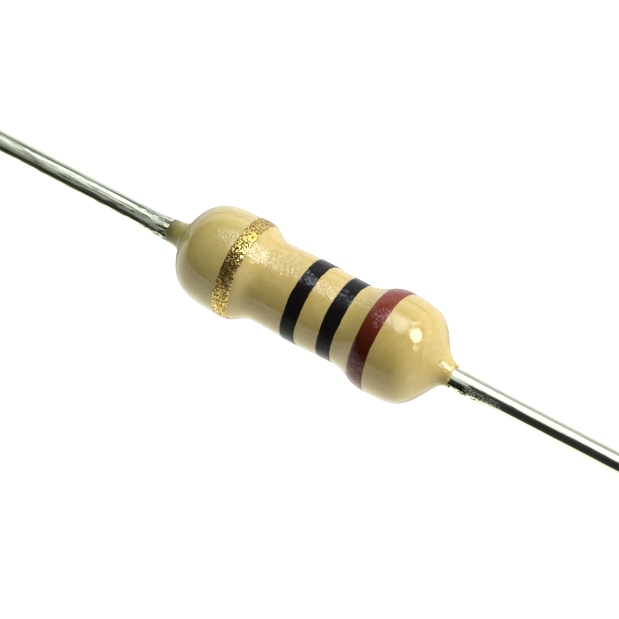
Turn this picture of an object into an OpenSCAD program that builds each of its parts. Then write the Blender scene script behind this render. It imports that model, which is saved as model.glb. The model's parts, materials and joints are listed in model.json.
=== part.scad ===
// Axial carbon film resistor, half-watt size, with a four-band colour code.
// The wires lie along X, with the first digit band towards +X, and the origin is the middle of the body.

/* [Ceramic rod] */
// Diameter of the ceramic rod that carries the film
rod_d = 2.12; // [1.6:0.02:3]
// Length of the ceramic rod
rod_len = 6.7; // [5.5:0.1:9]
// Chamfer round both ends of the rod
rod_chamfer = 0.15; // [0.05:0.01:0.3]

/* [Carbon film] */
// Thickness of the carbon film on the rod
film_t = 0.04; // [0.02:0.01:0.08]
// Turns of the groove that trims the film to its resistance
groove_turns = 3; // [1:1:5]
// Width of the trim groove
groove_w = 0.14; // [0.08:0.01:0.25]
// Plain film between each end cap and the nearest end of the groove
groove_margin = 0.4; // [0.2:0.05:0.7]

/* [End caps] */
// Sheet thickness of the pressed end caps
cap_wall = 0.2; // [0.12:0.01:0.25]
// Length of an end cap, over its outside
cap_len = 1.7; // [1.2:0.05:2.2]
// Outside radius of the cap's pressed corner
cap_corner_r = 0.3; // [0.1:0.05:0.4]

/* [Leads] */
// Diameter of the lead wires
lead_d = 0.6; // [0.4:0.02:0.8]
// Length of each lead wire, from its weld to its cut end
lead_len = 29; // [6:1:40]
// Chamfer where the wire was cut
lead_chamfer = 0.06; // [0.02:0.01:0.12]
// How far the weld swells the wire's radius, at the cap
weld_spread = 0.15; // [0.05:0.01:0.25]
// How far the weld's swelling runs along the wire
weld_len = 0.75; // [0.3:0.05:0.9]

/* [Lacquer, at the waist] */
// Lacquer over the film, next to the end caps
waist_t = 0.125; // [0.08:0.005:0.3]
// Extra lacquer that swells the middle of the waist
belly_t = 0.03; // [0:0.01:0.1]

/* [Lacquer, tolerance end] */
// Lacquer over the side of the cap
left_crown_t = 0.225; // [0.15:0.005:0.4]
// Length of the slope from the waist up to the crown
left_slope_len = 0.9; // [0.6:0.05:1.2]
// Lacquer beyond the cap's face, to the root of the neck
left_end_t = 0.69; // [0.4:0.01:0.8]
// Height of the neck's root above the wire
left_root_h = 0.32; // [0.2:0.01:0.6]
// Length of the neck that creeps along the wire
left_neck_len = 0.54; // [0.4:0.01:1.4]

/* [Lacquer, first digit end] */
// Lacquer over the side of the cap
right_crown_t = 0.275; // [0.15:0.005:0.4]
// Length of the slope from the waist up to the crown
right_slope_len = 1.3; // [0.8:0.05:1.5]
// Lacquer beyond the cap's face, to the root of the neck
right_end_t = 0.37; // [0.15:0.01:0.6]
// Height of the neck's root above the wire
right_root_h = 0.7; // [0.5:0.01:0.8]
// Length of the neck that creeps along the wire
right_neck_len = 0.73; // [0.5:0.01:1.6]

/* [Lacquer, both ends] */
// Thickness of the lacquer where the neck stops on the wire
neck_t = 0.05; // [0.02:0.005:0.12]

/* [Colour bands] */
// Thickness of the printed paint
paint_t = 0.03; // [0.02:0.005:0.06]
// Width of the first digit band
first_band_w = 0.6; // [0.3:0.02:0.9]
// Width of the other bands
band_w = 0.48; // [0.3:0.02:0.8]
// Spacing of the digit and multiplier bands
band_pitch = 1.17; // [0.95:0.01:1.4]
// From the rod's end to the middle of the first digit band
first_band_inset = 1.15; // [0.9:0.01:1.6]
// From the rod's other end to the middle of the tolerance band
last_band_inset = 1.08; // [0.9:0.01:1.6]

/* [Hidden] */
$fn = 96;

ARC_STEPS = 6;      // straight pieces in the cap's corner, and in the wire's foot
CURVE_STEPS = 12;   // straight pieces in each curve of the lacquer
GROOVE_STEPS = 30;  // stations of the trim groove in one turn

// Radii, from the middle outwards
rod_r = rod_d / 2;
film_r = rod_r + film_t;
cap_r = film_r + cap_wall;
lead_r = lead_d / 2;
waist_r = film_r + waist_t;

// Places along the axis, from the middle outwards
rod_end = rod_len / 2;
cap_face = rod_end + cap_wall;
cap_edge = cap_face - cap_len;
lead_tip = cap_face + lead_len;
first_band_x = rod_end - first_band_inset;
last_band_x = last_band_inset - rod_end;

// Trim groove, which leaves an equal margin of plain film at each end
groove_reach = cap_edge - groove_margin - groove_w / 2;
groove_overcut = film_t / 2;

// An outline is a list of [radius, place along X] points, from the middle of the body outwards.
// fall is the angle between the surface and the wire at the neck's root. Handles of the dome's and
// the neck's curves are shares of the length that each curve covers.

function reversed(list) = [for (i = [len(list) - 1:-1:0]) list[i]];
function mirrored(outline) = [for (p = reversed(outline)) [p[0], -p[1]]];
function cubic(a, b, c, d) = [
    for (i = [0:CURVE_STEPS]) let (t = i / CURVE_STEPS, u = 1 - t)
        u * u * u * a + 3 * u * u * t * b + 3 * u * t * t * c + t * t * t * d
];
function s_curve(a, b) = let (middle = (a[1] + b[1]) / 2) cubic(a, [a[0], middle], [b[0], middle], b);

// Outside of a cap's pressed corner, from its skirt to its face
cap_corner = [
    for (i = [0:ARC_STEPS]) let (a = 90 * i / ARC_STEPS)
        [cap_r - cap_corner_r * (1 - cos(a)), cap_face - cap_corner_r * (1 - sin(a))]
];

// Foot of the wire, which the butt weld swells, from the cap's face to the plain wire
weld_foot = [
    for (i = [0:ARC_STEPS]) let (a = 90 * i / ARC_STEPS)
        [lead_r + weld_spread * (1 - sin(a)), cap_face + weld_len * (1 - cos(a))]
];

// Outside of the lacquer at one end: the slope on to the cap, the crown, the dome and the neck
function lacquer_end(crown_t, slope_len, end_t, root_h, neck_len, fall, dome_handles, neck_handles) =
    let (
        foot = [waist_r, cap_edge - slope_len / 2],
        crown = [cap_r + crown_t, cap_edge + slope_len / 2],
        root = [lead_r + root_h, cap_face + end_t],
        stop = [lead_r + neck_t, cap_face + end_t + neck_len],
        dome_len = root[1] - crown[1],
        downhill = [-sin(fall), cos(fall)]
    ) concat(
        s_curve(foot, crown),
        cubic(crown, crown + [0, dome_handles[0] * dome_len], root - dome_handles[1] * dome_len * downhill, root),
        cubic(root, root + neck_handles[0] * neck_len * downhill, stop - [0, neck_handles[1] * neck_len], stop)
    );

left_end = lacquer_end(
    left_crown_t, left_slope_len, left_end_t, left_root_h, left_neck_len,
    fall = 68, dome_handles = [0.58, 0.46], neck_handles = [0.26, 0.88]
);
right_end = lacquer_end(
    right_crown_t, right_slope_len, right_end_t, right_root_h, right_neck_len,
    fall = 55, dome_handles = [0.6, 0.42], neck_handles = [0.42, 0.45]
);
left_foot = [waist_r, -left_end[0][1]];
right_foot = right_end[0];
belly = [waist_r + belly_t, (left_foot[1] + right_foot[1]) / 2];
lacquer_outside = concat(mirrored(left_end), s_curve(left_foot, belly), s_curve(belly, right_foot), right_end);

// Inside of the lacquer in one half of the body: film, cap, weld and wire
lacquer_inside = concat([[film_r, 0], [film_r, cap_edge], [cap_r, cap_edge]], cap_corner, weld_foot);

left_neck_end = left_end[len(left_end) - 1][1];
right_neck_end = right_end[len(right_end) - 1][1];

// Turns an outline about the X axis
module turned(outline) rotate([0, 90, 0]) rotate_extrude() polygon(outline);

module ceramic_rod() {
    color("whitesmoke") turned([
        [0, -rod_end],
        [rod_r - rod_chamfer, -rod_end],
        [rod_r, rod_chamfer - rod_end],
        [rod_r, rod_end - rod_chamfer],
        [rod_r - rod_chamfer, rod_end],
        [0, rod_end]
    ]);
}

// Square-sided cutter that winds round the rod, a little deeper and higher than the film
module trim_groove() {
    stations = groove_turns * GROOVE_STEPS;
    section = [
        [rod_r - groove_overcut, -groove_w / 2],
        [film_r + groove_overcut, -groove_w / 2],
        [film_r + groove_overcut, groove_w / 2],
        [rod_r - groove_overcut, groove_w / 2]
    ];
    corners = len(section);
    points = [
        for (i = [0:stations], p = section)
            let (a = 360 * i / GROOVE_STEPS, x = groove_reach * (2 * i / stations - 1))
            [p[0] * cos(a), p[0] * sin(a), p[1] + x]
    ];
    sides = [
        for (i = [0:stations - 1], k = [0:corners - 1])
            let (here = i * corners, next = here + corners, m = (k + 1) % corners)
            each [[here + k, next + m, next + k], [here + k, here + m, next + m]]
    ];
    last = stations * corners;
    ends = [[3, 2, 1, 0], [last, last + 1, last + 2, last + 3]];
    rotate([0, 90, 0]) polyhedron(points, concat(sides, ends));
}

module carbon_film() {
    film_end = rod_end - rod_chamfer;
    color("dimgray") difference() {
        turned([[rod_r, -film_end], [film_r, -film_end], [film_r, film_end], [rod_r, film_end]]);
        trim_groove();
    }
}

module end_cap() {
    color("silver") turned(concat(
        [[0, rod_end], [film_r, rod_end], [film_r, cap_edge], [cap_r, cap_edge]], cap_corner, [[0, cap_face]]
    ));
}
module end_cap_left() mirror([1, 0, 0]) end_cap();
module end_cap_right() end_cap();

// Tinned wire, with the foot that is welded to the face of its cap
module lead() {
    color("gainsboro") turned(concat(
        [[0, cap_face]], weld_foot,
        [[lead_r, lead_tip - lead_chamfer], [lead_r - lead_chamfer, lead_tip], [0, lead_tip]]
    ));
}
module lead_left() mirror([1, 0, 0]) lead();
module lead_right() lead();

module lacquer_coating() {
    color("burlywood") turned(concat(
        lacquer_outside, [[lead_r, right_neck_end]], reversed(lacquer_inside),
        mirrored(reversed(lacquer_inside)), [[lead_r, -left_neck_end]]
    ));
}

// Ring of paint that follows the lacquer from one edge to the other
module band(middle, width) {
    surface_r = [for (p = lacquer_outside) [p[1], p[0]]];
    from = middle - width / 2;
    to = middle + width / 2;
    inside = concat(
        [[lookup(from, surface_r), from]],
        [for (p = lacquer_outside) if (p[1] > from && p[1] < to) p],
        [[lookup(to, surface_r), to]]
    );
    turned(concat(inside, [for (p = reversed(inside)) p + [paint_t, 0]]));
}
module band_first_digit() color("saddlebrown") band(first_band_x, first_band_w);
module band_second_digit() color("black") band(first_band_x - band_pitch, band_w);
module band_multiplier() color("black") band(first_band_x - 2 * band_pitch, band_w);
module band_tolerance() color("goldenrod") band(last_band_x, band_w);

ceramic_rod();
carbon_film();
end_cap_left();
end_cap_right();
lead_left();
lead_right();
lacquer_coating();
band_first_digit();
band_second_digit();
band_multiplier();
band_tolerance();
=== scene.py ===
"""Axial carbon film resistor, dressed piece by piece in the order in which it is put together.

It lies along X, with its first digit end towards +X. Meshes and the depths of relief are in metres,
and the places and sizes of patterns in materials are in millimetres.
"""

import json
import math

import bmesh
import bpy
import numpy as np
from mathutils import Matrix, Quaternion, Vector, noise
from mathutils.geometry import interpolate_bezier


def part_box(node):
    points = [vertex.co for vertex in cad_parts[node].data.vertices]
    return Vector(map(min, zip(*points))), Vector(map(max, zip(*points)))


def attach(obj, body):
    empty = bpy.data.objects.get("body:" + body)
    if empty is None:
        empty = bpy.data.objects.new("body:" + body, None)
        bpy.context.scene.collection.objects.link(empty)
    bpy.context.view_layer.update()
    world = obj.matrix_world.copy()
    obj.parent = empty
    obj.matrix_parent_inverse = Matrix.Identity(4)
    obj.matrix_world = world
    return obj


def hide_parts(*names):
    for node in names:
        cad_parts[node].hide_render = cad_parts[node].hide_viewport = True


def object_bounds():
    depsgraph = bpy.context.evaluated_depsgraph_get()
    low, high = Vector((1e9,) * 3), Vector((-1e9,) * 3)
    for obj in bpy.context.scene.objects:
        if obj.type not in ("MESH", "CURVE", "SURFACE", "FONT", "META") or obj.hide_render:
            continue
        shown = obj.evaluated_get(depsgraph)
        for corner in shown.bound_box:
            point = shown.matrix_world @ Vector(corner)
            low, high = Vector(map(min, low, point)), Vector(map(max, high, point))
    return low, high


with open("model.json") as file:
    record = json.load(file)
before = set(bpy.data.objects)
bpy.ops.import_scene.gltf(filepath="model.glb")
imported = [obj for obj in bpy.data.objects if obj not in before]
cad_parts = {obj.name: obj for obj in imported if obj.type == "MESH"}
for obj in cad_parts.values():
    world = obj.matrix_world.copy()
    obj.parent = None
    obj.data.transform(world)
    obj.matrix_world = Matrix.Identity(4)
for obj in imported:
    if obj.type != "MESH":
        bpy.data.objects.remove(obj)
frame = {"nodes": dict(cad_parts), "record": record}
cad_low, cad_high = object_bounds()

# ---------------------------------------------------------------------------------------------
# Ceramic rod: the fired former that everything else is built on. It is dry-pressed alumina,
# ground to size, and keeps a matt white surface with the fine grain of the grinding.

MM = 0.001
PORE_GREY = (0.62, 0.60, 0.55, 1)
FIRED_WHITE = (0.83, 0.81, 0.76, 1)
PORE_DEPTH = 0.008 * MM


def place(tree, kind, sockets=None, **settings):
    """Adds a shader node. settings are its own choices, and sockets gives inputs a value or a link."""
    made = tree.nodes.new("ShaderNode" + kind)
    for name, value in settings.items():
        setattr(made, name, value)
    for name, value in (sockets or {}).items():
        if isinstance(value, bpy.types.NodeSocket):
            tree.links.new(value, made.inputs[name])
        else:
            made.inputs[name].default_value = value
    return made


def tint(tree, amount, first, second, blend="MIX"):
    """Two colours mixed by amount."""
    mixed = place(tree, "Mix", {0: amount, 6: first, 7: second}, data_type="RGBA", blend_type=blend)
    return mixed.outputs[2]


def rise(tree, value, start, end, low=0.0, high=1.0):
    """A smooth step from low to high, as value goes from start to end."""
    sockets = {"Value": value, "From Min": start, "From Max": end, "To Min": low, "To Max": high}
    return place(tree, "MapRange", sockets, interpolation_type="SMOOTHSTEP").outputs[0]


def new_effect(name, inputs, output):
    """An empty node group, with its inputs by name and the node that takes its one output."""
    effect = bpy.data.node_groups.new(name, "ShaderNodeTree")
    for title, kind in inputs.items():
        effect.interface.new_socket(title, in_out="INPUT", socket_type="NodeSocket" + kind)
    effect.interface.new_socket(output, in_out="OUTPUT", socket_type="NodeSocketFloat")
    return effect, effect.nodes.new("NodeGroupInput").outputs, effect.nodes.new("NodeGroupOutput")


# Grain: noise that can be drawn out along an axis
grain_effect, given, result = new_effect(
    "grain", {"Vector": "Vector", "Lumps per mm": "Float", "Detail": "Float", "Stretch": "Vector"}, "Grain")
shaped = place(grain_effect, "Mapping", {"Vector": given["Vector"], "Scale": given["Stretch"]})
lumps = place(grain_effect, "TexNoise", {"Vector": shaped.outputs[0], "Scale": given["Lumps per mm"],
                                         "Detail": given["Detail"]})
grain_effect.links.new(lumps.outputs[0], result.inputs["Grain"])


def grain(tree, where, per_mm, detail=2.0, stretch=(1, 1, 1)):
    """Noise from 0 to 1 with so many lumps to a millimetre. A stretch under 1 makes them longer."""
    sockets = {"Vector": where, "Lumps per mm": per_mm, "Detail": detail, "Stretch": stretch}
    return place(tree, "Group", sockets, node_tree=grain_effect).outputs["Grain"]


def new_material(name):
    """An empty material, with its tree, its Principled shader and object coordinates in millimetres."""
    material = bpy.data.materials.new(name)
    material.use_nodes = True
    tree = material.node_tree
    to_mm = place(tree, "VectorMath", {0: place(tree, "TexCoord").outputs["Object"], "Scale": 1 / MM},
                  operation="SCALE")
    return material, tree, tree.nodes["Principled BSDF"], to_mm.outputs[0]


def feed(tree, shader, **inputs):
    """Gives the shader's inputs their values or links. Underscores stand for the spaces in their names."""
    for name, value in inputs.items():
        socket = shader.inputs[name.replace("_", " ")]
        if isinstance(value, bpy.types.NodeSocket):
            tree.links.new(value, socket)
        else:
            socket.default_value = value


def raised(tree, height, depth, normal=None):
    """Normals of a surface whose relief is height times depth, in metres."""
    sockets = {"Height": height, "Distance": depth, "Strength": 1.0}
    if normal is not None:
        sockets["Normal"] = normal
    return place(tree, "Bump", sockets).outputs[0]


def dress(node, material):
    """Puts one material on a CAD node that stays in sight."""
    piece = frame["nodes"][node]
    piece.data.materials.clear()
    piece.data.materials.append(material)


ceramic, tree, shader, where = new_material("fired_ceramic")
pores = grain(tree, where, per_mm=9.0, detail=4.0)
feed(tree, shader,
     Base_Color=tint(tree, rise(tree, pores, 0.35, 0.7), PORE_GREY, FIRED_WHITE),
     Roughness=rise(tree, pores, 0.3, 0.7, low=0.75, high=0.6),
     Normal=raised(tree, pores, PORE_DEPTH))
dress("ceramic_rod", ceramic)

# ---------------------------------------------------------------------------------------------
# Carbon film: pyrolytic carbon, cracked on to the rod in a furnace. It is dark grey with a
# metallic sheen, and the trim groove cut through it by a wheel shows the ceramic.

SOOT_DARK = (0.018, 0.018, 0.020, 1)
SOOT_LIGHT = (0.055, 0.055, 0.060, 1)
SOOT_DEPTH = 0.003 * MM

carbon, tree, shader, where = new_material("cracked_carbon")
soot = grain(tree, where, per_mm=5.0, detail=5.0)
feed(tree, shader,
     Base_Color=tint(tree, soot, SOOT_DARK, SOOT_LIGHT),
     Metallic=0.6,
     Roughness=rise(tree, soot, 0.3, 0.7, low=0.28, high=0.5),
     Normal=raised(tree, soot, SOOT_DEPTH))
dress("carbon_film", carbon)

# ---------------------------------------------------------------------------------------------
# End caps: deep-drawn from plated steel strip and pressed over the ends of the rod. Drawing
# leaves faint lines along the skirt, and the plating is a dull silver.

PLATE_DULL = (0.42, 0.41, 0.38, 1)
PLATE_LIGHT = (0.63, 0.62, 0.58, 1)
PLATE_LINE_DEPTH = 0.004 * MM

plated, tree, shader, where = new_material("plated_steel")
drawn = grain(tree, where, per_mm=14.0, stretch=(0.06, 1, 1))
feed(tree, shader,
     Base_Color=tint(tree, drawn, PLATE_DULL, PLATE_LIGHT),
     Metallic=1.0,
     Roughness=rise(tree, drawn, 0.3, 0.7, low=0.24, high=0.4),
     Normal=raised(tree, drawn, PLATE_LINE_DEPTH))
for cap in ("end_cap_left", "end_cap_right"):
    dress(cap, plated)

# ---------------------------------------------------------------------------------------------
# Leads: drawn copper wire with a bright tin coat, butt-welded to the caps and sheared off at
# the tips. Beside the body the tin is rough, scuffed and grey, with specks of burnt lacquer.

cap_low, cap_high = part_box("end_cap_right")
wire_r = frame["record"]["mounts"][0]["dims"]["r_mm"] * MM
WELD_SWELL = 0.15 * MM      # the weld is a hollow fillet from the cap's face to the wire
WELD_REACH = 0.75 * MM
WELD_STATIONS = 9
CUT_CHAMFER = 0.06 * MM
WIRE_SIDES = 96
ROUGH_REACH = 4.2 * MM      # from the cap's face to where the tin is smooth again
ROUGH_STEP = 0.035 * MM
PLAIN_STEP = 1.2 * MM
MERGE_GAP = 0.0005 * MM
NECK_STOP = 4.7 * MM        # about where the lacquer stops on each wire, from the middle of the body
CRUST_SKIN = 0.012 * MM     # extra thickness of the rough tin all round
CRUST_BELOW = 0.035 * MM    # and more of it underneath, with lumps
CRUST_LUMPS = 0.020 * MM
CRUST_START = 0.3 * MM
CRUST_FADE = 1.0 * MM
LUMP_LENGTH = 0.10 * MM
CRUMB_LENGTH = 0.045 * MM
UNDERSIDE = Vector((0, -0.888, -0.459))     # the side that hung lowest while tin and lacquer were wet
TIN_DULL = (0.62, 0.68, 0.53, 1)
TIN_BRIGHT = (0.74, 0.80, 0.65, 1)
# drags that are partly painted shade, and a painted dark reflection low on the wires
DRAG_AND_PAINTED_SHADE = (0.16, 0.18, 0.14, 1)
PAINTED_DARK_BAND_GREY = (0.065, 0.080, 0.050, 1)
BURNT_LACQUER = (0.05, 0.055, 0.035, 1)
STREAK_DEPTH = 0.035 * MM
DRAW_LINE_DEPTH = 0.0022 * MM
MATT_ROUGHNESS = 0.5
FINGER_SPREAD = 0.9         # in mm, how unevenly far the fingers of lacquer reach
SCUFF_SPREAD = 0.05         # in mm, how much further down the scuffs reach beside the body
DARK_BAND_SPREAD = 0.08         # in mm, how much the painted dark band wanders
PLAIN_RUTS = 0.3            # depth of the streaks away from the left neck, as a share


def turned(outline, sides, closed=False):
    """A bmesh turned about X from an outline of (x, 0, radius) points, with its ends or seam closed."""
    bm = bmesh.new()
    points = [bm.verts.new(p) for p in outline]
    for a, b in zip(points, points[1:] + points[:1] if closed else points[1:]):
        bm.edges.new((a, b))
    bmesh.ops.spin(bm, geom=bm.verts[:] + bm.edges[:], cent=(0, 0, 0), axis=(1, 0, 0), dvec=(0, 0, 0),
                   angle=math.tau, steps=sides, use_merge=True, use_duplicate=False)
    bmesh.ops.remove_doubles(bm, verts=bm.verts, dist=MERGE_GAP)
    bmesh.ops.recalc_face_normals(bm, faces=bm.faces)
    return bm


def made_piece(name, bm, material, node):
    """Turns a bmesh into the smooth-shaded piece that stands for a CAD node."""
    mesh = bpy.data.meshes.new(name)
    bm.to_mesh(mesh)
    bm.free()
    mesh.shade_smooth()
    mesh.materials.append(material)
    piece = bpy.data.objects.new(name, mesh)
    bpy.context.scene.collection.objects.link(piece)
    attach(piece, "root")
    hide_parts(node)
    return piece


def steps_between(start, end, step):
    """Even places from start to end, about a step apart and without the start itself."""
    count = max(1, round(abs(end - start) / step))
    return [start + (end - start) * i / count for i in range(1, count + 1)]


def compute(tree, operation, first, second=0.0):
    """One Math node, and its result."""
    return place(tree, "Math", {0: first, 1: second}, operation=operation).outputs[0]


def product(tree, *values):
    """Values multiplied in the order given. A product of masks shows only where all of them do."""
    total = values[0]
    for value in values[1:]:
        total = compute(tree, "MULTIPLY", total, value)
    return total


def greater(tree, first, second):
    """The greater of two values. Of two masks, it shows where either does."""
    return compute(tree, "MAXIMUM", first, second)


def along(tree, where):
    """Place along the body, in millimetres from its middle towards the first digit end."""
    return place(tree, "SeparateXYZ", {0: where}).outputs["X"]


def below_axis(tree, where):
    """Distance from the axis towards UNDERSIDE, in millimetres."""
    return place(tree, "VectorMath", {0: where, 1: UNDERSIDE}, operation="DOT_PRODUCT").outputs["Value"]


# A mask rises between two levels of a noise or between two places, in mm: along X, out from the
# middle of the body, or below the axis, from -0.3 at the top of the wire to 0.3 at its underside
tinned, tree, shader, where = new_material("bright_tin")
x_mm = along(tree, where)
below = below_axis(tree, where)
distance = compute(tree, "ABSOLUTE", x_mm)
left_wire = rise(tree, x_mm, 0.5, -0.5)
right_wire = rise(tree, x_mm, -0.5, 0.5)
past_left_neck = rise(tree, x_mm, -4.0, -4.6)
beside_body = rise(tree, distance, 5.0, 6.2, low=1.0, high=0.0)
draw_lines = grain(tree, where, per_mm=20.0, detail=3.0, stretch=(0.04, 1, 1))
streaks = grain(tree, where, per_mm=13.0, detail=4.0, stretch=(0.18, 1, 1))

# Burnt lacquer: chips underneath both wires, and fingers that creep along the left one
crumbs = grain(tree, where, per_mm=13.0, detail=4.0)
chips = product(tree, rise(tree, crumbs, 0.53, 0.56), rise(tree, below, 0.12, 0.2),
                rise(tree, distance, 5.9, 5.6))
ragged = compute(tree, "SUBTRACT", distance, product(tree, streaks, FINGER_SPREAD))
fingers = product(tree, rise(tree, streaks, 0.49, 0.54), rise(tree, ragged, 4.64, 4.52), left_wire)

# Matt places: the scuffed flank of the left wire, and frosted tin beside the right neck
scuffs = grain(tree, where, per_mm=16.0, detail=4.0, stretch=(0.10, 1, 1))
low_edge = compute(tree, "SUBTRACT", below, product(tree, beside_body, SCUFF_SPREAD))
scuffed = product(tree, rise(tree, below, -0.16, -0.06), rise(tree, low_edge, 0.16, 0.10),
                  past_left_neck, rise(tree, scuffs, 0.30, 0.46))
frost = grain(tree, where, per_mm=26.0, detail=3.0)
frosted = product(tree, rise(tree, frost, 0.44, 0.58), rise(tree, below, 0.02, 0.09),
                  rise(tree, distance, 6.6, 6.0), rise(tree, distance, 5.0, 5.2))
ragged_neck = compute(tree, "SUBTRACT", distance, streaks)
near_neck = product(tree, rise(tree, below, -0.08, -0.03), rise(tree, below, 0.11, 0.06),
                    rise(tree, ragged_neck, 4.9, 4.6))
frosted = product(tree, greater(tree, frosted, near_neck), right_wire)
matt = product(tree, greater(tree, scuffed, frosted), MATT_ROUGHNESS)

# Dark lines: drags of the drawing die on the left wire, kept to a band of its upper flank, where they also
# darken it as painted shade, and a painted dark reflection low on it and by the right neck
drag_marks = grain(tree, where, per_mm=22.0, detail=3.0, stretch=(0.06, 1, 1))
drags_and_painted_shade = product(tree, rise(tree, below, -0.24, -0.18), rise(tree, below, 0.10, 0.04),
                past_left_neck, rise(tree, drag_marks, 0.47, 0.60, high=0.7))
uneven = product(tree, compute(tree, "SUBTRACT", streaks, 0.5), DARK_BAND_SPREAD)
dark_band_height = compute(tree, "ADD", below, uneven)
dark_band_reach = greater(tree, left_wire, rise(tree, distance, 5.4, 5.1))
# The painted dark band: a dark reflection painted low on the tin, as grey
painted_dark_band = product(tree, rise(tree, dark_band_height, 0.175, 0.20), rise(tree, dark_band_height, 0.265, 0.24),
                  dark_band_reach)

# The drags also paint shade on the left wire, and the dark band is a painted dark reflection
tin = tint(tree, draw_lines, TIN_DULL, TIN_BRIGHT)
tin = tint(tree, drags_and_painted_shade, tin, DRAG_AND_PAINTED_SHADE)
tin = tint(tree, painted_dark_band, tin, PAINTED_DARK_BAND_GREY)
streaky = product(tree, beside_body, rise(tree, streaks, 0.4, 0.6, high=0.12))
ruts = product(tree, left_wire, rise(tree, distance, 5.3, 4.9, low=1.0, high=2.5))
ruts = product(tree, beside_body, greater(tree, ruts, PLAIN_RUTS))
feed(tree, shader,
     Base_Color=tint(tree, greater(tree, chips, fingers), tin, BURNT_LACQUER),
     Metallic=1.0,
     Roughness=compute(tree, "ADD", rise(tree, draw_lines, 0.3, 0.7, low=0.06, high=0.13),
                       greater(tree, matt, streaky)),
     Normal=raised(tree, product(tree, streaks, ruts), STREAK_DEPTH,
                   raised(tree, draw_lines, DRAW_LINE_DEPTH)))


def crust(side, x, angle):
    """Height of the rough tin on the wire, which is thickest underneath and fades along the wire."""
    out = max(0.0, x - NECK_STOP)
    under = max(0.0, math.cos(angle - math.atan2(UNDERSIDE.z, UNDERSIDE.y)))
    spot = Vector((side * x, wire_r * math.cos(angle), wire_r * math.sin(angle)))
    lumps = noise.noise(spot / LUMP_LENGTH) + 0.5 * noise.noise(spot / CRUMB_LENGTH)
    fade = math.exp(-((out / CRUST_FADE) ** 2))
    return fade * (CRUST_SKIN + under ** 2 * (CRUST_BELOW + CRUST_LUMPS * lumps))


def lead(name, side):
    """The wire of one end, from its weld on the cap to its cut tip. side is 1 towards +X, and -1 away."""
    low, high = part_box(name)
    face = cap_high.x
    tip = max(abs(low.x), abs(high.x))
    rough_start = face + WELD_REACH
    rough_end = face + ROUGH_REACH
    weld = interpolate_bezier(
        (face, 0, wire_r + WELD_SWELL), (face + 0.05 * WELD_REACH, 0, wire_r + 0.4 * WELD_SWELL),
        (face + 0.5 * WELD_REACH, 0, wire_r), (rough_start, 0, wire_r), WELD_STATIONS)
    stations = steps_between(rough_start, rough_end, ROUGH_STEP)
    stations += steps_between(rough_end, tip - CUT_CHAMFER, PLAIN_STEP)
    outline = [Vector((face, 0, 0))] + weld + [Vector((x, 0, wire_r)) for x in stations]
    outline += [Vector((tip, 0, wire_r - CUT_CHAMFER)), Vector((tip, 0, 0))]
    bm = turned(outline, WIRE_SIDES)
    for vert in bm.verts:
        radius = math.hypot(vert.co.y, vert.co.z)
        on_skin = radius > 0.9 * wire_r
        if on_skin and rough_start < vert.co.x < rough_end:
            swell = crust(side, vert.co.x, math.atan2(vert.co.z, vert.co.y))
            vert.co.yz *= 1 + swell * min(1, (vert.co.x - rough_start) / CRUST_START) / radius
    if side < 0:
        bmesh.ops.scale(bm, vec=(-1, 1, 1), verts=bm.verts)
        bmesh.ops.recalc_face_normals(bm, faces=bm.faces)
    return made_piece(name + "_wire", bm, tinned, name)


wires = [lead("lead_right", 1), lead("lead_left", -1)]

# ---------------------------------------------------------------------------------------------
# Lacquer coating: tan epoxy lacquer, rolled on in several coats and baked. It bulges over the
# caps, sinks between them, and creeps a little way along each wire to a thin ragged edge.

film_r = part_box("carbon_film")[1].z
cap_r, cap_edge, cap_face = cap_high.z, cap_low.x, cap_high.x
CAP_CORNER = 0.3 * MM
CORNER_STATIONS = 7
WAIST_COAT = 0.125 * MM
BELLY_COAT = 0.03 * MM
NECK_COAT = 0.05 * MM
LIP = 0.035 * MM                    # how far the coat's thin edge rounds off along the wire
LIP_COAT = 0.3 * NECK_COAT          # and how thick it still is at its very edge
LACQUER_SIDES = 224
CURVE_PIECES = 22
LEFT_END = dict(crown=0.225 * MM, slope=0.9 * MM, reach=0.69 * MM, root=0.32 * MM, neck=0.54 * MM,
                fall=68, dome_handles=(0.58, 0.46), neck_handles=(0.26, 0.88))
RIGHT_END = dict(crown=0.255 * MM, slope=1.3 * MM, reach=0.37 * MM, root=0.70 * MM, neck=0.73 * MM,
                 fall=55, dome_handles=(0.60, 0.42), neck_handles=(0.42, 0.45))
# Where the right end's coat ran to one side: how far, towards which angle, about which X and over
# what length
RUNS = ((0.030 * MM, 27.3, 2.5 * MM, 0.8 * MM), (0.085 * MM, 97.0, 4.45 * MM, 0.24 * MM))
SLOW_LUMP, SLOW_LENGTH = 0.011 * MM, 1.3 * MM
QUICK_LUMP, QUICK_LENGTH = 0.0035 * MM, 0.42 * MM
CALM_FROM, CALM_OVER = 2.5 * MM, 0.6 * MM           # quick lumps die down before this X, over this length
LUMPY_COAT = 0.5 * MM                               # a thinner coat has lower lumps
SKIN_GAP = 0.001 * MM                               # within this of the outline is the outside
RAGGED_CREEP = 0.07 * MM
RAGGED_FROM, RAGGED_OVER = 0.75 * MM, 0.4 * MM      # measured out from the cap's face
RAGGED_WAVES = 2.2


def curve(*knots):
    return interpolate_bezier(*knots, CURVE_PIECES + 1)


def s_curve(a, b):
    """A curve from a to b that is level at both."""
    middle = (a.x + b.x) / 2
    return curve(a, Vector((middle, 0, a.z)), Vector((middle, 0, b.z)), b)


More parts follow.
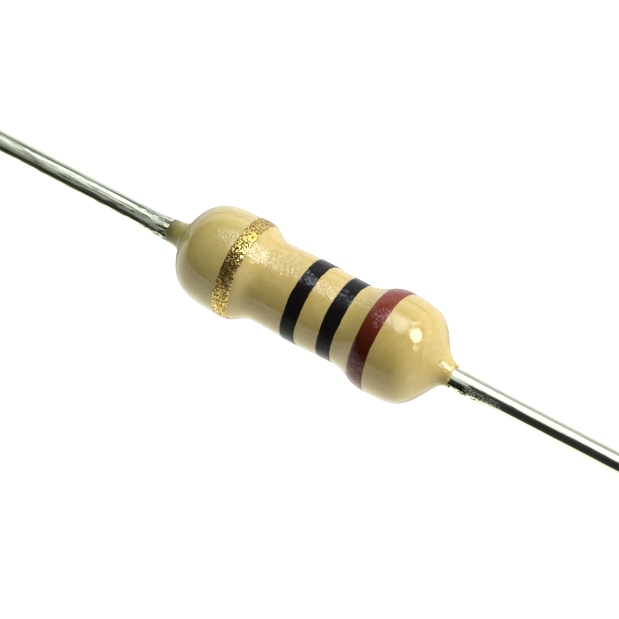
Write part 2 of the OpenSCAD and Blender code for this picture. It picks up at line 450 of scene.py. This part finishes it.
def lacquer_end(crown, slope, reach, root, neck, fall, dome_handles, neck_handles):
    """Outside of the coat from the waist to where it stops on the wire, for the end towards +X."""
    foot_at = Vector((cap_edge - slope / 2, 0, film_r + WAIST_COAT))
    crown_at = Vector((cap_edge + slope / 2, 0, cap_r + crown))
    root_at = Vector((cap_face + reach, 0, wire_r + root))
    stop_at = Vector((cap_face + reach + neck, 0, wire_r + NECK_COAT))
    dome = root_at.x - crown_at.x
    fall = math.radians(fall)
    downhill = Vector((math.cos(fall), 0, -math.sin(fall)))
    outward = Vector((1, 0, 0))
    return (
        s_curve(foot_at, crown_at)
        + curve(crown_at, crown_at + dome_handles[0] * dome * outward,
                root_at - dome_handles[1] * dome * downhill, root_at)[1:]
        + curve(root_at, root_at + neck_handles[0] * neck * downhill,
                stop_at - neck_handles[1] * neck * outward, stop_at)[1:]
    )


def mirrored(outline):
    return [Vector((-p.x, 0, p.z)) for p in reversed(outline)]


right_end = lacquer_end(**RIGHT_END)
left_end = mirrored(lacquer_end(**LEFT_END))
belly = Vector(((left_end[-1].x + right_end[0].x) / 2, 0, film_r + WAIST_COAT + BELLY_COAT))
coat = left_end + s_curve(left_end[-1], belly)[1:] + s_curve(belly, right_end[0])[1:] + right_end[1:]
coat_x = [p.x for p in coat]
coat_r = [p.z for p in coat]

# Inside of the coat: over the film, the cap's skirt, its corner and face, and the weld's fillet
corner_middle = Vector((cap_face - CAP_CORNER, 0, cap_r - CAP_CORNER))
corner = [corner_middle + CAP_CORNER * Vector((math.sin(a), 0, math.cos(a)))
          for a in np.linspace(0, math.pi / 2, CORNER_STATIONS)]
inside = [Vector((cap_edge, 0, film_r)), Vector((cap_edge, 0, cap_r))] + corner
inside += [Vector((cap_face, 0, wire_r + WELD_SWELL)), Vector((cap_face + WELD_REACH, 0, wire_r))]
inside = mirrored(inside) + inside


def lacquer_radius(x, angle):
    """Outside radius of the coat, with the slow lumps that rolling it on leaves."""
    plain = float(np.interp(x, coat_x, coat_r))
    spot = Vector((x, plain * math.cos(angle), plain * math.sin(angle)))
    calm = min(1.0, max(0.2, (CALM_FROM - x) / CALM_OVER))
    lump = SLOW_LUMP * noise.noise(spot / SLOW_LENGTH) + QUICK_LUMP * calm * noise.noise(spot / QUICK_LENGTH)
    fullness = min(1.0, (plain - wire_r) / LUMPY_COAT)
    for swell, towards, centre, length in RUNS:
        plain += swell * math.cos(angle - math.radians(towards)) * math.exp(-(((x - centre) / length) ** 2))
    return plain + lump * fullness


stop_left = Vector((coat[0].x - LIP, 0, wire_r + LIP_COAT))
stop_right = Vector((coat[-1].x + LIP, 0, wire_r + LIP_COAT))
section = [stop_left] + coat + [stop_right, Vector((coat[-1].x, 0, wire_r))]
section += list(reversed(inside)) + [Vector((coat[0].x, 0, wire_r))]
bm = turned(section, LACQUER_SIDES, closed=True)
for vert in bm.verts:
    radius = math.hypot(vert.co.y, vert.co.z)
    angle = math.atan2(vert.co.z, vert.co.y)
    on_skin = abs(radius - float(np.interp(vert.co.x, coat_x, coat_r))) < SKIN_GAP
    if on_skin:
        vert.co.yz *= lacquer_radius(vert.co.x, angle) / radius
    # the edge on the wire is ragged, and that of the right end also stops a little short
    creep = RAGGED_CREEP * min(1.0, max(0.0, (abs(vert.co.x) - cap_face - RAGGED_FROM) / RAGGED_OVER))
    spot = Vector((math.copysign(3, vert.co.x),
                   RAGGED_WAVES * math.cos(angle), RAGGED_WAVES * math.sin(angle)))
    vert.co.x += math.copysign(creep * noise.fractal(spot, 0.6, 2.0, 3), vert.co.x)
    if vert.co.x > 0:
        vert.co.x -= creep

# Orange peel of a rolled-on coat: fine dimples over slower ripples
DIMPLE_SHARE, RIPPLE_SHARE = 0.6, 0.4
RIPPLES_PER_DIMPLE = 0.35
peel_effect, given, result = new_effect(
    "orange_peel", {"Vector": "Vector", "Dimples per mm": "Float"}, "Height")
fine = place(peel_effect, "TexNoise", {"Vector": given["Vector"], "Scale": given["Dimples per mm"],
                                       "Detail": 2.0, "Roughness": 0.6})
slow_scale = product(peel_effect, given["Dimples per mm"], RIPPLES_PER_DIMPLE)
slow = place(peel_effect, "TexNoise", {"Vector": given["Vector"], "Scale": slow_scale, "Detail": 1.0})
peel_height = compute(peel_effect, "ADD", product(peel_effect, fine.outputs[0], DIMPLE_SHARE),
                      product(peel_effect, slow.outputs[0], RIPPLE_SHARE))
peel_effect.links.new(peel_height, result.inputs["Height"])

# A stripe along X wherever the surface is so many mm above the axis, away from UNDERSIDE
STRIPE_WANDER = 1.2     # in mm, for the whole range of the noise that its edges follow
stripe_effect, given, result = new_effect(
    "high_stripe", {"Vector": "Vector", "Middle": "Float", "Half width": "Float", "Fade": "Float",
                      "Wobble": "Float"}, "Mask")
height = place(stripe_effect, "VectorMath", {0: given["Vector"], 1: -UNDERSIDE}, operation="DOT_PRODUCT")
height = compute(stripe_effect, "ADD", height.outputs["Value"],
                 product(stripe_effect, given["Wobble"], STRIPE_WANDER))
gap = compute(stripe_effect, "ABSOLUTE", compute(stripe_effect, "SUBTRACT", height, given["Middle"]))
inner = compute(stripe_effect, "SUBTRACT", given["Half width"], given["Fade"])
stripe_effect.links.new(rise(stripe_effect, gap, given["Half width"], inner), result.inputs["Mask"])


def peel(tree, where, per_mm):
    """Height of the orange peel, with so many dimples to a millimetre."""
    sockets = {"Vector": where, "Dimples per mm": per_mm}
    return place(tree, "Group", sockets, node_tree=peel_effect).outputs["Height"]


def stripe(tree, where, middle, half, fade, noise_mask):
    """Mask of the stripe. middle, half and fade are in millimetres. Its edges follow noise_mask."""
    sockets = {"Vector": where, "Middle": middle, "Half width": half, "Fade": fade,
               "Wobble": compute(tree, "SUBTRACT", noise_mask, 0.5)}
    return place(tree, "Group", sockets, node_tree=stripe_effect).outputs["Mask"]


TAN_DEEP = (0.494, 0.381, 0.113, 1)
TAN_PALE = (0.536, 0.407, 0.129, 1)
LEFT_BULB_TAN = (0.490, 0.400, 0.126, 1)
RIGHT_BULB_TAN = (0.512, 0.384, 0.104, 1)
LEFT_NECK_OLIVE = (0.360, 0.320, 0.080, 1)
LEFT_EDGE_DARK = (0.10, 0.10, 0.025, 1)
PEACH_MOTTLE = (0.80, 0.60, 0.36, 1)
# painted shade on the lower half of the right neck
NECK_SHADE_BROWN = (0.20, 0.150, 0.016, 1)
SPECK_BROWN = (0.07, 0.045, 0.015, 1)
# painted highlights, the glints of the rolled zone
PAINTED_GLINT_CREAM = (0.95, 0.82, 0.62, 1)
PEEL_DEPTH = 0.045 * MM
PLAIN_PEEL = 0.15           # depth of the peel outside the rolled zone, as a share
SPECKS_PER_MM = 1.6
SPECK_STRENGTH = 0.8

# The tan differs a little from end to end, by how far along X a place is
lacquer, tree, shader, where = new_material("tan_lacquer")
x_mm = along(tree, where)
cloud = grain(tree, where, per_mm=0.9, detail=3.0)
mottle = grain(tree, where, per_mm=4.5, detail=3.0)
tan = tint(tree, rise(tree, cloud, 0.35, 0.65), TAN_DEEP, TAN_PALE)
tan = tint(tree, rise(tree, x_mm, -1.6, -2.6), tan, LEFT_BULB_TAN)
tan = tint(tree, rise(tree, x_mm, 2.2, 3.4, high=0.8), tan, RIGHT_BULB_TAN)
tan = tint(tree, rise(tree, x_mm, -3.9, -4.3), tan, LEFT_NECK_OLIVE)
tan = tint(tree, rise(tree, mottle, 0.45, 0.75, high=0.16), tan, PEACH_MOTTLE)

# Painted shade: the lower half of the right neck is painted darker and browner
lower_neck_shade = product(tree, rise(tree, x_mm, 4.25, 4.60, high=0.5),
                rise(tree, below_axis(tree, where), -0.15, 0.15))
tan = tint(tree, lower_neck_shade, tan, NECK_SHADE_BROWN)
tan = tint(tree, rise(tree, x_mm, -4.45, -4.78, high=0.8), tan, LEFT_EDGE_DARK)

# Specks: motes of dust baked into the coat, in about four in ten of the pattern's cells
specks = place(tree, "TexVoronoi", {"Vector": where, "Scale": SPECKS_PER_MM}, feature="F1")
lot = place(tree, "SeparateColor", {0: specks.outputs["Color"]}).outputs[0]
speck = product(tree, rise(tree, specks.outputs["Distance"], 0.045, 0.03), rise(tree, lot, 0.6, 0.62))
tan = tint(tree, product(tree, speck, SPECK_STRENGTH), tan, SPECK_BROWN)

# The rolled zone: a stripe high on the body where the roller left the coat last, with deeper peel, and
# glints there, which are painted highlights in cream
right_fade = rise(tree, x_mm, 1.9, 2.8, low=1.0, high=0.08)
left_fade = rise(tree, x_mm, -3.55, -2.95)
peel_and_glint_zone = stripe(tree, where, middle=0.58, half=0.30, fade=0.20, noise_mask=cloud)
peel_and_glint_zone = product(tree, peel_and_glint_zone, right_fade, left_fade)
flecks = grain(tree, where, per_mm=17.0)
# Painted highlights: cream glints painted into the base colour
painted_glints = product(tree, peel_and_glint_zone, rise(tree, flecks, 0.52, 0.64, high=0.40),
                 rise(tree, mottle, 0.36, 0.58, low=0.35), rise(tree, x_mm, 1.15, 1.45, low=1.0, high=0.2))
tan = tint(tree, painted_glints, tan, PAINTED_GLINT_CREAM)
skin = compute(tree, "SUBTRACT", peel(tree, where, per_mm=10.0), 0.5)
skin = product(tree, skin, compute(tree, "ADD", peel_and_glint_zone, PLAIN_PEEL), rise(tree, x_mm, -2.5, -1.9, low=0.55))
feed(tree, shader,
     Base_Color=tan,
     Roughness=compute(tree, "ADD", rise(tree, mottle, 0.4, 0.6, low=0.05, high=0.11),
                       rise(tree, x_mm, -3.9, -4.05, high=0.22)),
     IOR=1.66,
     Normal=raised(tree, skin, PEEL_DEPTH))
coated = made_piece("lacquer_coat", bm, lacquer, "lacquer_coating")

# ---------------------------------------------------------------------------------------------
# Black bands: two rings of printed paint on the waist, the second digit and the multiplier. A
# wheel rolls each one on while the body turns, so the edges wander and the paint wrinkles.

PAINT_HEIGHT = 0.014 * MM
PAINT_SINK = 0.006 * MM
BAND_SIDES = 288
BAND_STATIONS = 14
EDGE_STEP = 0.06                        # as a share of the band's half width
EDGE_ROUND = (0.0, 0.55, 0.85, 1.0)     # how the paint's edge rises to its full height, step by step
WANDER_WAVES = 1.6
QUICK_WANDER = 0.35                     # size of the quick part of the wandering, as a share of the slow
QUICK_WAVES = 5                         # and how many times as quick it is
EDGES_APART = 5                         # keeps the wandering of a ring's two edges unlike
BLACK_WANDER = 0.035 * MM
BLACK_SWELL = 0.14 * MM
BLACK_DEEP = (0.0050, 0.0040, 0.0040, 1)
BLACK_PALE = (0.0075, 0.0060, 0.0060, 1)
# painted highlight of the black bands
BLACK_PAINTED_HIGHLIGHT = (0.120, 0.128, 0.150, 1)
COOL_GLOSS = (0.85, 0.92, 1.0, 1)
COOL_SHEEN = (0.82, 0.91, 1.0, 1)
BLACK_WRINKLE = 0.022 * MM


def band(name, node, material, wander, seed, swells=()):
    """A ring of paint on the lacquer.

    swells are (side, angle, width, amount) bulges of one edge. side is 1 for the edge towards +X and
    -1 for the other, and angle and width are in degrees round the body.
    """
    low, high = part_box(node)
    middle, half = (low.x + high.x) / 2, (high.x - low.x) / 2
    edges = len(EDGE_ROUND)
    across = [-1 + EDGE_STEP * i for i in range(edges)]
    across += list(np.linspace(across[-1], -across[-1], BAND_STATIONS))[1:-1]
    across += [-a for a in reversed(across[:edges])]
    heights = list(EDGE_ROUND) + [1.0] * (len(across) - 2 * edges) + list(reversed(EDGE_ROUND))
    # first turned as a plain ring, with its inside at radius 1 and its outside at radius 2 to 3
    outline = [Vector((a, 0, 2.0 + h)) for a, h in zip(across, heights)]
    outline += [Vector((a, 0, 1.0)) for a in reversed(across)]
    bm = turned(outline, BAND_SIDES, closed=True)
    for vert in bm.verts:
        share, layer = vert.co.x, math.hypot(vert.co.y, vert.co.z)
        angle = math.atan2(vert.co.z, vert.co.y)
        edge = math.copysign(1, share)
        around = Vector((WANDER_WAVES * math.cos(angle), WANDER_WAVES * math.sin(angle),
                         seed + EDGES_APART * edge))
        shift = wander * (noise.noise(around) + QUICK_WANDER * noise.noise(QUICK_WAVES * around))
        for side, centre, width, amount in swells:
            gap = (angle - math.radians(centre) + math.pi) % math.tau - math.pi
            if side == edge:
                shift += amount * math.exp(-((gap / math.radians(width)) ** 2))
        x = middle + share * half + shift * abs(share)
        height = (layer - 2) * PAINT_HEIGHT if layer > 1.5 else -PAINT_SINK
        radius = lacquer_radius(x, angle) + height
        vert.co = Vector((x, radius * math.cos(angle), radius * math.sin(angle)))
    return made_piece(name, bm, material, node)


black, tree, shader, where = new_material("black_paint")
haze = grain(tree, where, per_mm=3.0, detail=3.0)

# Painted highlight: a cloudy, bluish patch painted high on each band, narrower, further up and fainter on
# the second digit
x_mm = along(tree, where)
highlight_middle = rise(tree, x_mm, 0.3, 0.6, low=0.61, high=0.68)
highlight_half = rise(tree, x_mm, 0.3, 0.6, low=0.18, high=0.15)
highlight_grain = grain(tree, where, per_mm=15.0, detail=3.0)
painted_highlight = stripe(tree, where, highlight_middle, highlight_half, fade=0.08, noise_mask=haze)
painted_highlight = product(tree, painted_highlight, rise(tree, highlight_grain, 0.42, 0.60),
                rise(tree, x_mm, 0.3, 0.6, low=1.0, high=0.6))
feed(tree, shader,
     Base_Color=tint(tree, painted_highlight, tint(tree, haze, BLACK_DEEP, BLACK_PALE), BLACK_PAINTED_HIGHLIGHT),
     Roughness=rise(tree, haze, 0.4, 0.6, low=0.06, high=0.12),
     IOR=1.19,
     Specular_Tint=COOL_GLOSS,
     Sheen_Weight=0.22,
     Sheen_Roughness=0.35,
     Sheen_Tint=COOL_SHEEN,
     Normal=raised(tree, peel(tree, where, per_mm=9.0), BLACK_WRINKLE))
bands = [
    band("second_digit_band", "band_second_digit", black, BLACK_WANDER, seed=3.1),
    band("multiplier_band", "band_multiplier", black, BLACK_WANDER, seed=8.4,
         swells=((1, 27, 15, BLACK_SWELL),)),
]

# ---------------------------------------------------------------------------------------------
# Brown band: the first digit, the widest ring, printed over the slope up to the bulb. Its red brown
# is painted lighter high up and a little near the bottom, as painted light, and darker between, as painted
# shade.

BROWN_WANDER = 0.03 * MM
BROWN_SWELL = 0.05 * MM
# painted shade, painted light and a painted highlight of the brown band
BROWN_PAINTED_SHADE = (0.062, 0.009, 0.0040, 1)
BROWN_PAINTED_LIGHT = (0.205, 0.032, 0.0115, 1)
BROWN_PAINTED_HIGHLIGHT = (0.28, 0.145, 0.165, 1)
ROSY_GLOSS = (1.0, 0.74, 0.74, 1)
BROWN_WRINKLE = 0.025 * MM

brown, tree, shader, where = new_material("brown_paint")
haze = grain(tree, where, per_mm=2.2, detail=4.0)
below = compute(tree, "ADD", below_axis(tree, where), product(tree, haze, 0.3))
# Painted light and shade: lighter high up, a little lighter near the bottom, darker between
painted_light_mask = greater(tree, rise(tree, below, 0.7, -1.1), rise(tree, below, 0.7, 1.3, high=0.35))

# A painted highlight high on the band, strongest towards the bulb, and painted specks of reflection low down
highlight_grain = grain(tree, where, per_mm=14.0, detail=3.0)
painted_highlight = stripe(tree, where, middle=0.62, half=0.28, fade=0.12, noise_mask=haze)
painted_highlight = product(tree, painted_highlight, rise(tree, highlight_grain, 0.46, 0.60, high=0.7),
                rise(tree, along(tree, where), 1.85, 2.15, low=0.2))
low_speck_grain = grain(tree, where, per_mm=15.0, detail=3.0)
# Painted reflection: pale specks painted low on the band
low_painted_specks = product(tree, rise(tree, below, 0.85, 1.15), rise(tree, low_speck_grain, 0.50, 0.62, high=0.5))
red_brown = tint(tree, painted_light_mask, BROWN_PAINTED_SHADE, BROWN_PAINTED_LIGHT)
feed(tree, shader,
     Base_Color=tint(tree, greater(tree, painted_highlight, low_painted_specks), red_brown, BROWN_PAINTED_HIGHLIGHT),
     Roughness=rise(tree, haze, 0.4, 0.6, low=0.06, high=0.12),
     IOR=1.37,
     Specular_Tint=ROSY_GLOSS,
     Normal=raised(tree, peel(tree, where, per_mm=9.0), BROWN_WRINKLE))
bands.append(band("first_digit_band", "band_first_digit", brown, BROWN_WANDER, seed=5.7,
                  swells=((1, 27, 25, BROWN_SWELL),)))

# ---------------------------------------------------------------------------------------------
# Gold band: the tolerance, printed in paint full of brass flakes. Each flake lies at its own
# tilt, so some flash and some are dark, with brown varnish between them.

GOLD_WANDER = 0.02 * MM
FLAKES_PER_MM = 32.0
FLAKE_TILT = 0.45
VARNISH_BROWN = (0.100, 0.036, 0.004, 1)
BRASS_DARK = (0.42, 0.29, 0.045, 1)
BRASS_LIGHT = (0.82, 0.68, 0.23, 1)
WARM_GLOSS = (1.0, 0.85, 0.60, 1)

# Each cell of the pattern draws three lots: whether it is brass or varnish, how light it is and how
# rough. Together they also tilt it.
gold, tree, shader, where = new_material("gold_paint")
flakes = place(tree, "TexVoronoi", {"Vector": where, "Scale": FLAKES_PER_MM}, feature="F1")
lots = place(tree, "SeparateColor", {0: flakes.outputs["Color"]})
metal = rise(tree, lots.outputs[0], 0.42, 0.52)
brass = tint(tree, lots.outputs[1], BRASS_DARK, BRASS_LIGHT)
turn = place(tree, "VectorMath", {0: flakes.outputs["Color"], 1: (0.5, 0.5, 0.5)}, operation="SUBTRACT")
turn = place(tree, "VectorMath", {0: turn.outputs[0], "Scale": FLAKE_TILT}, operation="SCALE")
facing = place(tree, "NewGeometry").outputs["Normal"]
tilted = place(tree, "VectorMath", {0: facing, 1: turn.outputs[0]}, operation="ADD")
tilted = place(tree, "VectorMath", {0: tilted.outputs[0]}, operation="NORMALIZE")
feed(tree, shader,
     Base_Color=tint(tree, metal, VARNISH_BROWN, brass),
     Metallic=metal,
     Roughness=rise(tree, lots.outputs[2], 0.0, 1.0, low=0.18, high=0.4),
     Specular_Tint=WARM_GLOSS,
     Coat_Weight=0.1,
     Coat_Roughness=0.12,
     Normal=tilted.outputs[0])
bands.append(band("tolerance_band", "band_tolerance", gold, GOLD_WANDER, seed=1.9))

# ---------------------------------------------------------------------------------------------
# Floor: a seamless white paper sheet under the resistor. It glows, so that it shows as plain white.
# Only the camera sees it: what such a sheet throws back on to the resistor is in the surroundings.

FLOOR_REACH = 4.0
PAPER_DARK = (0.30, 0.30, 0.30, 1)
PAPER_LIGHT = (0.32, 0.32, 0.32, 1)
PAPER_GLOW = 0.95

floor_mesh = bpy.data.meshes.new("floor")
bm = bmesh.new()
bmesh.ops.create_grid(bm, x_segments=1, y_segments=1, size=FLOOR_REACH)
bmesh.ops.translate(bm, vec=(0, 0, cad_low.z), verts=bm.verts)
bm.to_mesh(floor_mesh)
bm.free()
floor = bpy.data.objects.new("floor", floor_mesh)
bpy.context.scene.collection.objects.link(floor)
for ray in ("visible_diffuse", "visible_glossy", "visible_transmission", "visible_shadow"):
    setattr(floor, ray, False)

paper, tree, shader, where = new_material("white_sheet")
weave = grain(tree, where, per_mm=0.5)
feed(tree, shader,
     Base_Color=tint(tree, weave, PAPER_DARK, PAPER_LIGHT),
     Roughness=1.0,
     Specular_IOR_Level=0.0,
     Emission_Color=(1, 1, 1, 1),
     Emission_Strength=PAPER_GLOW)
floor_mesh.materials.append(paper)

# ---------------------------------------------------------------------------------------------
# Surroundings: a dark room with a pale wall behind and another to the right, a soft lamp overhead
# and the white sheet below the horizon all round. The camera itself sees plain white.

WALL_BEHIND = 0.62
WALL_FOOT = -0.15                       # the wall behind is darker at its foot
WALL_RIGHT = 0.75
SOFT_LAMP = 4.6
LAMP_X, LAMP_AROUND = -0.105, 110       # where the middle of the lamp's oval screen is
LAMP_WIDE = (5.8, 0.0265)               # its slanted axes, each as the weights of how far a direction
LAMP_HIGH = (-3.28, 0.0376)             # is from that middle in X and in degrees
STRIP_AROUND = 115
SHEET_IN_FRONT = (1.0, 0.98, 0.85, 1)
SHEET_BEHIND = (1.24, 1.27, 1.38, 1)
SHEET_IN_SHADE = (0.42, 0.42, 0.40, 1)

world = bpy.data.worlds.new("studio")
bpy.context.scene.world = world
world.use_nodes = True
tree = world.node_tree
tree.nodes.clear()
direction = place(tree, "SeparateXYZ", {0: place(tree, "TexCoord").outputs["Generated"]})
d_x, d_y, d_z = (direction.outputs[axis] for axis in "XYZ")

# Degrees round the resistor's axis: 0 at the front horizon, 90 overhead, 180 or -180 at the back
# horizon and -90 straight down
around = compute(tree, "ARCTAN2", d_z, product(tree, d_y, -1.0))
around = product(tree, around, 180 / math.pi)

# The room gets lighter from front to back, and is dark at its far left
room = compute(tree, "ADD", rise(tree, around, 44, 60, low=0.03, high=0.08),
               rise(tree, around, 84, 104, high=0.12))
room = compute(tree, "ADD", room, rise(tree, around, 150, 159, high=WALL_BEHIND))
room = compute(tree, "ADD", room, rise(tree, around, 168, 172, high=WALL_FOOT))
room = product(tree, room, rise(tree, d_x, -1.0, -0.75))
to_the_right = rise(tree, d_x, -0.1, 0.95, high=WALL_RIGHT)
wall = greater(tree, product(tree, to_the_right, rise(tree, around, 68, 84, low=1.0, high=0.3)),
               product(tree, to_the_right, rise(tree, around, 128, 140)))
room = greater(tree, room, wall)

# The soft lamp: an oval screen that fades out at its edge, and a narrow strip to the left of it
off_x = compute(tree, "SUBTRACT", d_x, LAMP_X)
off_around = compute(tree, "SUBTRACT", around, LAMP_AROUND)
off_wide, off_high = (
    compute(tree, "ADD", product(tree, off_x, per_x), product(tree, off_around, per_degree))
    for per_x, per_degree in (LAMP_WIDE, LAMP_HIGH))
lamp_gap = place(tree, "CombineXYZ", {0: off_wide, 1: off_high})
lamp_gap = place(tree, "VectorMath", {0: lamp_gap.outputs[0]}, operation="LENGTH").outputs["Value"]
strip_gap = compute(tree, "ABSOLUTE", compute(tree, "SUBTRACT", around, STRIP_AROUND))
strip = product(tree, rise(tree, strip_gap, 24, 10), rise(tree, d_x, -0.36, -0.25),
                rise(tree, d_x, -0.20, -0.25))
soft_lamp = greater(tree, rise(tree, lamp_gap, 1.25, 0.5), strip)
room = compute(tree, "ADD", room, product(tree, soft_lamp, SOFT_LAMP))
sky = place(tree, "CombineColor", {0: room, 1: room, 2: room}).outputs[0]

# The sheet: dim far out in front, brighter nearer by and behind, and shaded straight below by the part
in_front = compute(tree, "ADD", rise(tree, around, -23, -30, low=0.05, high=1.3),
                   rise(tree, around, -31, -60, high=0.4))
in_front = product(tree, in_front, rise(tree, d_x, 0.92, 0.97, low=1.0, high=0.5))
in_front = tint(tree, 1.0, in_front, SHEET_IN_FRONT, "MULTIPLY")
sheet = tint(tree, rise(tree, d_y, 0.0, 0.3), in_front, SHEET_BEHIND)
out_of_shade = greater(tree, rise(tree, around, -122, -148), rise(tree, around, -114, -92))
sheet = tint(tree, out_of_shade, SHEET_IN_SHADE, sheet)

light = tint(tree, rise(tree, d_z, 0.02, -0.02), sky, sheet)
seen = place(tree, "LightPath").outputs["Is Camera Ray"]
backdrop = place(tree, "Background", {"Color": tint(tree, seen, light, (1, 1, 1, 1)), "Strength": 1.0})
place(tree, "OutputWorld", {"Surface": backdrop.outputs[0]})

# ---------------------------------------------------------------------------------------------
# Lights: a window with a bar and a low lamp, which the glossy coat mirrors, broad fills that it
# doesn't mirror, and cards and a panel that put pale stripes on the body and the wires.

LAMP_DISTANCE = 0.4
LAMP_WHITE = (1.0, 0.98, 0.96)


def softbox(name, towards, width, height, radiance, colour=(1, 1, 1), roll=0, shape="RECTANGLE"):
    """An area light that faces the origin from a direction. Its width, height and roll are in degrees."""
    lamp = bpy.data.lights.new(name, "AREA")
    lamp.shape = shape
    lamp.size = 2 * LAMP_DISTANCE * math.tan(math.radians(width / 2))
    lamp.size_y = 2 * LAMP_DISTANCE * math.tan(math.radians(height / 2))
    area = lamp.size * lamp.size_y * (math.pi / 4 if shape == "ELLIPSE" else 1)
    lamp.energy = radiance * math.pi * area
    lamp.color = colour
    holder = bpy.data.objects.new(name, lamp)
    bpy.context.scene.collection.objects.link(holder)
    holder.location = LAMP_DISTANCE * Vector(towards).normalized()
    facing = Vector(towards).to_track_quat("Z", "Y") @ Quaternion((0, 0, 1), math.radians(roll))
    holder.rotation_euler = facing.to_euler()
    holder.visible_camera = False
    return holder


def only_for(lamp, pieces):
    """Lets a lamp shine on some pieces alone."""
    receivers = bpy.data.collections.new(lamp.name + "_receivers")
    for piece in pieces:
        receivers.objects.link(piece)
    lamp.light_linking.receiver_collection = receivers


window = softbox("window", (0.49, 0.31, 0.78), width=45, height=27, radiance=10.0, colour=LAMP_WHITE,
                 roll=60, shape="ELLIPSE")
window.visible_diffuse = False
softbox("window_bar", (0.130, 0.622, 0.772), width=20, height=6, radiance=6.5, colour=LAMP_WHITE, roll=66)
softbox("low_lamp", (0.831, 0.002, 0.556), width=26, height=8, radiance=4.5, colour=LAMP_WHITE,
        roll=102, shape="ELLIPSE")
window_fill = softbox("window_fill", (0.669, 0.467, 0.578), width=27, height=32, radiance=7.0,
                      colour=LAMP_WHITE)
ceiling_fill = softbox("ceiling_fill", (0, 0.25, 0.97), width=60, height=60, radiance=1.25)
for fill in (window_fill, ceiling_fill):
    fill.visible_glossy = False

# For the wires: a white panel overhead, and a card behind that only the right one mirrors
only_for(softbox("wire_panel", (0, -0.05, 1), width=90, height=32, radiance=1.2), wires)
wire_card = softbox("wire_card", (0, 0.809, 0.588), width=90, height=17, radiance=0.42)
wire_card.visible_diffuse = False
only_for(wire_card, wires[:1])

# For the body: low cards in front and behind, which the lacquer and the bands mirror
front_card = softbox("front_card", (0, -0.966, -0.259), width=172, height=26, radiance=0.8)
back_card = softbox("back_card", (0, 0.906, 0.423), width=172, height=32, radiance=0.95)
for card in (front_card, back_card):
    card.visible_diffuse = False
    only_for(card, [coated] + bands)

# ---------------------------------------------------------------------------------------------
# Camera: a long lens, looking down on the body from its first digit end.

CAMERA_AZIMUTH = math.radians(31.4)
CAMERA_ELEVATION = math.radians(58.8)
CAMERA_DISTANCE = 0.14
AIM_RIGHT = -0.123 * MM
AIM_UP = -0.149 * MM
LENS_LENGTH = 285       # both of these are in millimetres, as the camera takes them
SENSOR_WIDTH = 36

back = Vector((math.sin(CAMERA_AZIMUTH) * math.cos(CAMERA_ELEVATION),
               -math.cos(CAMERA_AZIMUTH) * math.cos(CAMERA_ELEVATION), math.sin(CAMERA_ELEVATION)))
right = Vector((math.cos(CAMERA_AZIMUTH), math.sin(CAMERA_AZIMUTH), 0))
aim = AIM_RIGHT * right + AIM_UP * back.cross(right)
lens = bpy.data.cameras.new("camera")
lens.lens = LENS_LENGTH
lens.sensor_width = SENSOR_WIDTH
lens.clip_start = 0.01
lens.clip_end = 20
camera = bpy.data.objects.new("camera", lens)
bpy.context.scene.collection.objects.link(camera)
camera.location = aim + CAMERA_DISTANCE * back
camera.rotation_euler = back.to_track_quat("Z", "Y").to_euler()
bpy.context.scene.camera = camera
bpy.context.scene.view_settings.view_transform = "Standard"
